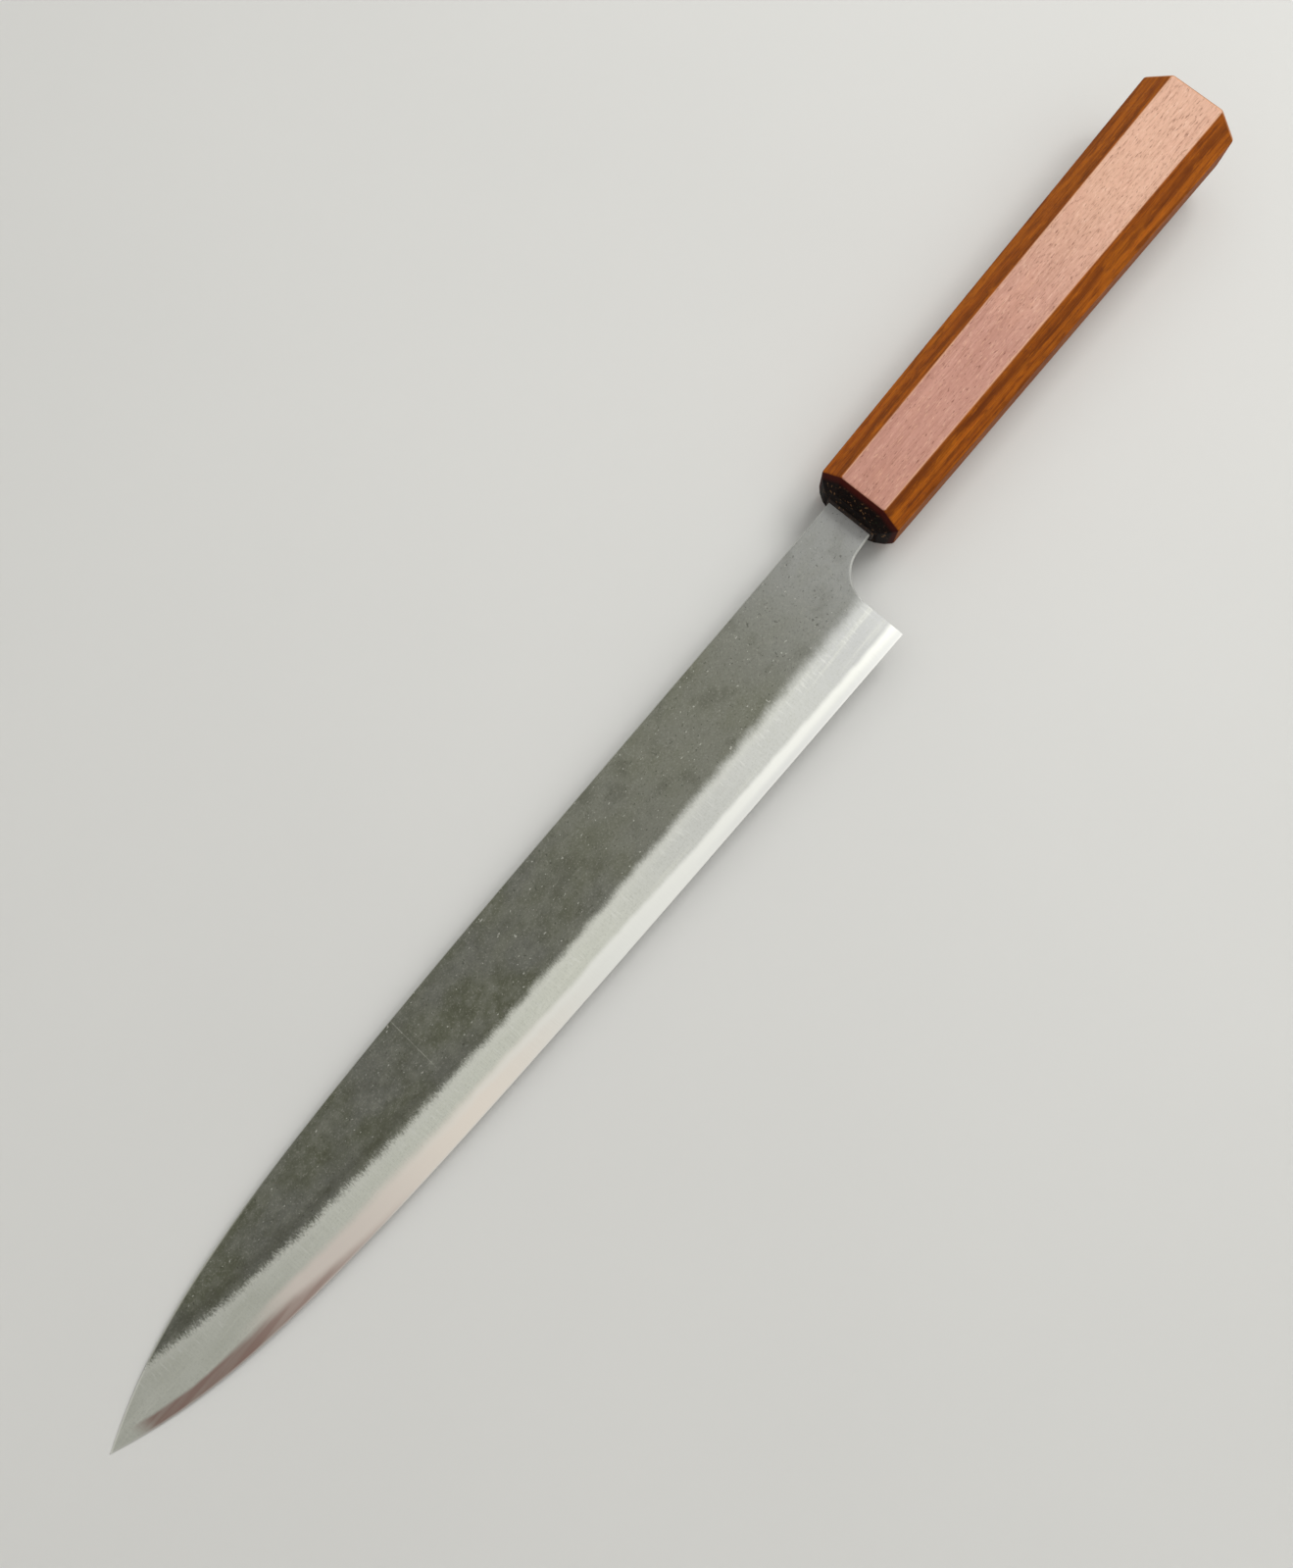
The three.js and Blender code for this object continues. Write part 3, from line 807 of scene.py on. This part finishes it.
    # at the butt the rings curve round a heart that lies below the handle
    heart = 38
    fromHeart = (y * y + (z + heart) * (z + heart)) ** 0.5 + (place.grain(5, 5, 5, 3) - 0.5) * 0.9
    tailRing = (fromHeart * 2.1 + (fromHeart * 0.6).sine() * 1.3).sine()
    rays = place.grain(9, 0.22, 3.2, 2)
    tailWood = (tailRing.rise(-0.1, 1.0) * 0.55).tint(tone["tailPale"], tone["tailRing"])
    tailWood = (rays.rise(0.5, 0.7) * 0.4).tint(tailWood, tone["tailRay"])
    tailWood = (cloud.rise(0.45, 0.7) * 0.3).tint(tailWood, tone["tailCloud"])
    tailWood = (ends.rise(0.58, 0.7) * 0.6).tint(tailWood, tone["tailPore"])
    wood = nose.tint(wood, noseWood)
    wood = tail.tint(wood, tailWood)
    rough = 0.58 - levelFace * 0.18 + fibre * 0.16 + pore * 0.15 + nose * 0.15
    height = fibre * 0.4 + ray * 0.3 - pore
    feed(Base_Color=wood, Roughness=rough, Normal=relief(height, 0.06, 0.5))
    return finish


def between(start, end, share):
    return start + (end - start) * share


def handleSize(x):
    # half width, half thickness and corner of the octagon
    share = x / handle["length"]
    width = between(handle["mouthWidth"], handle["buttWidth"], share) / 2
    thickness = between(handle["mouthThickness"], handle["buttThickness"], share) / 2
    return width, thickness, between(handle["mouthCorner"], handle["buttCorner"], share)


noseX = handle["crownDepth"] + handle["noseDepth"]
buttX = handle["length"] - handle["buttChamfer"]
frontWidth, frontThick, frontCorner = handleSize(noseX)
endWidth, endThick, endCorner = handleSize(buttX)


def runsLong(edge):
    return abs((edge.verts[0].co - edge.verts[1].co).x) > handle["length"] / 2 * mm


def buttFlat(vert):
    return vert.co.x > buttX * mm - near and abs(vert.co.z) > frontThick * mm - near


def buttSide(vert):
    return vert.co.x > buttX * mm - near and abs(vert.co.y) > frontWidth * mm - near


grip = addBlock("grip", (noseX, -frontWidth, -frontThick), (buttX, frontWidth, frontThick))
openMesh(grip, "EDGE")
pick(grip, "EDGE", runsLong)
bpy.ops.mesh.bevel(offset=frontCorner * mm, segments=1, affect="EDGES")

# the butt's octagon: its flats and its sides are set to their own widths
middle = (buttX * mm, 0, 0)
pick(grip, "VERT", buttFlat)
flat = (endWidth - endCorner) / (frontWidth - frontCorner)
bpy.ops.transform.resize(value=(1, flat, endThick / frontThick), center_override=middle)
pick(grip, "VERT", buttSide)
side = (endThick - endCorner) / (frontThick - frontCorner)
bpy.ops.transform.resize(value=(1, endWidth / frontWidth, side), center_override=middle)

# the front end is drawn in to a chamfer and a low crown, the butt to a small chamfer
pick(grip, "FACE", lambda f: f.normal.x < -facing)
bpy.ops.mesh.inset(thickness=handle["noseInset"] * mm)
bpy.ops.transform.translate(value=(-handle["noseDepth"] * mm, 0, 0))
bpy.ops.mesh.inset(thickness=(handle["crownInset"] - handle["noseInset"]) * mm)
bpy.ops.transform.translate(value=(-handle["crownDepth"] * mm, 0, 0))
pick(grip, "FACE", lambda f: f.normal.x > facing)
bpy.ops.mesh.inset(thickness=handle["buttChamfer"] * mm)
bpy.ops.transform.translate(value=(handle["buttChamfer"] * mm, 0, 0))
closeMesh()
rounding = {"width": handle["edgeRound"] * mm, "segments": 3}
applyModifier(grip, "BEVEL", limit_method="ANGLE", angle_limit=handle["roundAbove"], **rounding)

lead = 1.0  # how far a cutter stands out beyond what it cuts


def tangRoom(name, front, back, margin):
    # a block round the tang, wider than it by a margin, tapering as it does
    half = blade["neckThickness"] / 2 + margin
    top, under = blade["neckTop"] + margin, -blade["neckBottom"] - margin
    room = addBlock(name, (front, under, -half), (back, top, half))
    openMesh(room)
    pick(room, "VERT", lambda v: v.co.x > back * mm - near)
    share = back / blade["tangLength"]
    endHalf = between(blade["neckThickness"], blade["tangEndThickness"], share) / 2 + margin
    endTop = between(blade["neckTop"], tangTop, share) + margin
    endUnder = between(-blade["neckBottom"], tangUnder, share) - margin
    shrink = (1, (endTop - endUnder) / (top - under), endHalf / half)
    bpy.ops.transform.resize(value=shrink, center_override=(0, (top + under) / 2 * mm, 0))
    bpy.ops.transform.translate(value=(0, ((endTop + endUnder) - (top + under)) / 2 * mm, 0))
    closeMesh()
    return room


cutWith(grip, tangRoom("socket", -lead, handle["socketEnd"], handle["socketWall"]))
markFaces(grip, "levelFace", lambda way: abs(way.z))
markFaces(grip, "endFace", lambda way: way.x)
markFaces(grip, "wearAndHighlight", cornerOf)
settle(grip, "handle_body", handleFinish())
print("handle finished:", len(grip.data.polygons), "faces")


# filler round the tang at the mouth

filler = {
    "proud": 0.7, "depth": 2.0, "margin": 0.77, "gap": 0.03, "round": 0.5,
    "tones": {
        "dark": (22, 13, 10), "brown": (46, 28, 17), "green": (34, 42, 26), "fleck": (128, 96, 62),
    },
}


def fillerFinish():
    finish, place, feed = newFinish("rubbed_mouth_filler")
    tone = mixTones(filler)
    lump = place.grain(1.1, 1.1, 1.1, 3)
    fleck = place.grain(0.5, 0.5, 0.5, 1)
    colour = lump.rise(0.3, 0.7).tint(tone["dark"], tone["brown"])
    colour = (lump.rise(0.6, 0.72) * 0.6).tint(colour, tone["green"])
    colour = (fleck.rise(0.62, 0.7) * 0.8).tint(colour, tone["fleck"])
    feed(Base_Color=colour, Roughness=0.55 + lump * 0.3, Normal=relief(lump, 0.15))
    return finish


bead = tangRoom("bead", -filler["proud"], filler["depth"], filler["margin"])
openMesh(bead, "EDGE")
pick(bead, "EDGE", lambda e: all(v.co.x < 0 for v in e.verts))
bpy.ops.mesh.bevel(offset=filler["round"] * mm, segments=3, affect="EDGES")
closeMesh()
cutWith(bead, tangRoom("tangCut", -filler["proud"] - lead, filler["depth"] + lead, filler["gap"]))
settle(bead, "mouth_seal", fillerFinish())


# resin round the tang, out of sight inside the handle

resin = {"tones": {"dark": (92, 62, 30), "pale": (128, 92, 48), "bubble": (196, 164, 112)}}


def resinFinish():
    finish, place, feed = newFinish("tang_resin", Coat_Weight=0.3)
    tone = mixTones(resin)
    cloud = place.grain(6, 4, 4, 3)
    bubble = place.grain(0.8, 0.8, 0.8, 1).rise(0.7, 0.75)
    colour = cloud.rise(0.3, 0.7).tint(tone["dark"], tone["pale"])
    colour = (bubble * 0.6).tint(colour, tone["bubble"])
    feed(Base_Color=colour, Roughness=0.25 + cloud * 0.2, Normal=relief(cloud, 0.2, 0.4))
    return finish


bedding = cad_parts["tang_bedding"]
bedding.data.materials.clear()
bedding.data.materials.append(resinFinish())
print("fillings finished")


# floor, light and camera

stage = {
    "tilt": 0.03686,  # the knife rests on its point and the handle's front end, so the floor leans
    "drop": 0.15,
    "floorRadius": 2.4, "floorSides": 96, "coveRadius": 0.8, "coveSteps": 10, "wallHeight": 2.2,
    "keyReach": 0.9, "keyRise": 52.5, "keyTurn": -6.0,
    "keyWidth": 0.55, "keyHeight": 0.3, "keyPower": 3.8,
    "skyTint": (1.0, 0.99, 0.97, 1),
    # overhead, at the horizon, and the share that is left beyond the point
    "skyTop": 1.0, "skyRim": 0.35, "skyFar": 0.55,
    "eye": (-16.503, -29.483, 321.364), "turn": (5.5662, 3.3201, -50.0749),
    "lens": 29.72, "sensor": 36, "clipStart": 0.01,
    "tones": {"floorDark": (215, 215, 212), "floorPale": (217, 217, 214)},
}


def floorFinish():
    finish, place, feed = newFinish("pale_floor", Specular_IOR_Level=0.2)
    tone = mixTones(stage)
    cloud = place.grain(160, 160, 160, 3)
    fine = place.grain(1.2, 1.2, 1.2, 2)
    colour = cloud.rise(0.3, 0.7).tint(tone["floorDark"], tone["floorPale"])
    feed(Base_Color=colour, Roughness=0.7 + fine * 0.15)
    return finish


takeNone()
floorSize = {"vertices": stage["floorSides"], "radius": stage["floorRadius"]}
bpy.ops.mesh.primitive_circle_add(fill_type="NGON", **floorSize)
floor = bpy.context.object
floor.name = "floor"
openMesh(floor, "EDGE")
bpy.ops.mesh.select_all(action="SELECT")
bpy.ops.mesh.region_to_loop()
cove = []  # out and up from the floor's rim
for angle in np.linspace(0, math.pi / 2, stage["coveSteps"]):
    cove.append((stage["coveRadius"] * math.sin(angle), stage["coveRadius"] * (1 - math.cos(angle))))
cove.append((stage["coveRadius"], stage["wallHeight"]))
for (lastOut, lastUp), (out, up) in zip(cove, cove[1:]):
    bpy.ops.mesh.extrude_region_move(TRANSFORM_OT_translate={"value": (0, 0, up - lastUp)})
    grow = (stage["floorRadius"] + out) / (stage["floorRadius"] + lastOut)
    bpy.ops.transform.resize(value=(grow, grow, 1), center_override=(0, 0, up))
closeMesh()
bpy.ops.object.shade_smooth()
floorDrop = (stage["drop"] - stage["tilt"] * point.x) * mm
floor.rotation_euler = (0, math.atan(stage["tilt"]), 0)
floor.location = (mouth.x, mouth.y, mouth.z - floorDrop)
floor.data.materials.append(floorFinish())

# one wide soft lamp beyond the butt
rise, turn = math.radians(stage["keyRise"]), math.radians(stage["keyTurn"])
level = math.cos(rise)
keyWay = Vector((level * math.cos(turn), level * math.sin(turn), math.sin(rise)))
keySpot = Vector((mouth.x, mouth.y, 0)) + keyWay * stage["keyReach"]
bpy.ops.object.light_add(type="AREA", location=keySpot, rotation=(0, math.pi / 2 - rise, turn))
key = bpy.context.object
key.data.shape = "RECTANGLE"
key.data.size = stage["keyHeight"]
key.data.size_y = stage["keyWidth"]
key.data.energy = stage["keyPower"]

# the room is brightest overhead and falls off to the horizon and beyond the point
world = bpy.data.worlds.new("soft_room")
bpy.context.scene.world = world
world.use_nodes = True
background = world.node_tree.nodes["Background"]
background.inputs["Color"].default_value = stage["skyTint"]
way = Wire(world.node_tree, None).add("ShaderNodeTexCoord", {}, {}, "Generated")
along, up = axes(way, "XZ")
fromTop = stage["skyRim"] + up.rise(0.15, 0.95) * (stage["skyTop"] - stage["skyRim"])
sky = fromTop * (stage["skyFar"] + along.rise(-0.6, 0) * (1 - stage["skyFar"]))
world.node_tree.links.new(sky.socket, background.inputs["Strength"])

cameraTurn = [math.radians(v) for v in stage["turn"]]
bpy.ops.object.camera_add(location=Vector(stage["eye"]) * mm, rotation=cameraTurn)
camera = bpy.context.object
camera.data.lens = stage["lens"]
camera.data.sensor_width = stage["sensor"]
camera.data.clip_start = stage["clipStart"]
bpy.context.scene.camera = camera
bpy.context.scene.view_settings.view_transform = "Standard"
print("stage, light and camera set")
